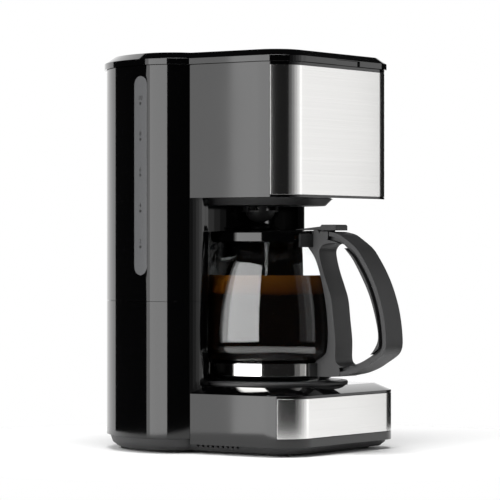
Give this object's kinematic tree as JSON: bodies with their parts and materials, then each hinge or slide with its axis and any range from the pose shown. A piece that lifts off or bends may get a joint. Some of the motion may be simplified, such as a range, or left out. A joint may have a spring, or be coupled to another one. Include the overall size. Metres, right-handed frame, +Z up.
{
  "type": "drip coffee maker",
  "caption": "Drip coffee maker: round tank column with level window, brewing head with flip lid, warming base, and glass carafe with handle and hinged lid.",
  "frame": {"origin": "on the floor under the feet, below the middle of the box that holds the whole machine", "axes": "+Z up; -Y towards the front, where the steel panels and the carafe's handle are; +X to the right of someone who stands in front of the machine and looks at it, the side with the power switch"},
  "size_m": [0.2152, 0.2844, 0.345],
  "materials": {
    "gloss_black": "high-gloss moulded black plastic",
    "matte_black": "fine-textured black plastic",
    "brushed_steel": "stainless steel sheet, brushed sideways",
    "polished_steel": "polished steel",
    "aluminium": "plain metal, satin",
    "plate_enamel": "dark non-stick coating",
    "gauge_plastic": "smoked clear plastic",
    "carafe_glass": "clear glass",
    "coffee": "liquid",
    "gold_mesh": "fine gold-toned mesh",
    "rubber": "matt rubber",
    "silicone": "milky silicone",
    "tank_liner": "satin dark plastic"
  },
  "bodies": {
    "machine": {"base_pan": "matte_black", "base_shell": "gloss_black", "base_panel": "brushed_steel", "plate_ring": "matte_black", "warming_plate": "plate_enamel", "heating_element": "aluminium", "heater_pipe": "aluminium", "heater_bracket": "aluminium", "bracket_screw": "aluminium", "thermostat": "aluminium", "thermal_fuse": "silicone", "switch_housing": "matte_black", "lower_column": "gloss_black", "cord_gland": "rubber", "upper_column": "gloss_black", "gauge_window": "gauge_plastic", "water_tank": "tank_liner", "check_valve": "silicone", "cold_hose": "silicone", "hot_hose": "silicone", "riser_tube": "silicone", "shower_arm": "matte_black", "spreader": "matte_black", "head_shell": "gloss_black", "head_panel": "brushed_steel", "brew_basket": "matte_black", "filter_mesh": "gold_mesh", "drip_stop_cage": "matte_black", "drip_stop_spring": "polished_steel", "lid_rear_cap": "gloss_black", "foot_1": "rubber", "pan_screw_1": "aluminium", "foot_2": "rubber", "pan_screw_2": "aluminium", "foot_3": "rubber", "pan_screw_3": "aluminium", "foot_4": "rubber", "pan_screw_4": "aluminium"},
    "top_lid": {"lid_shell": "gloss_black", "lid_inner": "matte_black", "lid_pin_left": "aluminium", "lid_pin_right": "aluminium"},
    "drip_stop": {"drip_stop_plunger": "matte_black", "drip_stop_seal": "rubber"},
    "switch": {"switch_rocker": "gloss_black"},
    "carafe": {"carafe_glass": "carafe_glass", "carafe_coffee": "coffee", "carafe_band": "polished_steel", "handle_core": "matte_black", "handle_cover": "matte_black", "handle_screw": "aluminium", "carafe_lid_pin": "aluminium"},
    "carafe_lid": {"carafe_lid": "gloss_black", "lid_lever": "matte_black"}
  },
  "joints": [
    {"name": "top_lid_hinge", "type": "hinge", "parent": "machine", "child": "top_lid", "pos_m": [0, 0.126, 0.33965], "axis": [-1, 0, 0], "range_deg": [0, 95]},
    {"name": "carafe_slide", "type": "slide", "parent": "machine", "child": "carafe", "axis": [0, -1, 0], "range_m": [0, 0.22]},
    {"name": "carafe_lid_hinge", "type": "hinge", "parent": "carafe", "child": "carafe_lid", "pos_m": [0, -0.0704, 0.189], "axis": [1, 0, 0], "range_deg": [0, 3.5]},
    {"name": "drip_stop_lift", "type": "slide", "parent": "machine", "child": "drip_stop", "axis": [0, 0, 1], "range_m": [0, 0.0042], "stiffness_N_per_m": 120, "springref_m": -0.003, "deforming": ["drip_stop_spring"]},
    {"name": "rocker_hinge", "type": "hinge", "parent": "machine", "child": "switch", "pos_m": [0.084, -0.025, 0.032], "axis": [0, 0, 1], "range_deg": [0, 16]}
  ],
  "couplings": [
    {"joint": "drip_stop_lift", "follows": "carafe_lid_hinge", "m_per_rad": 0.068}
  ]
}
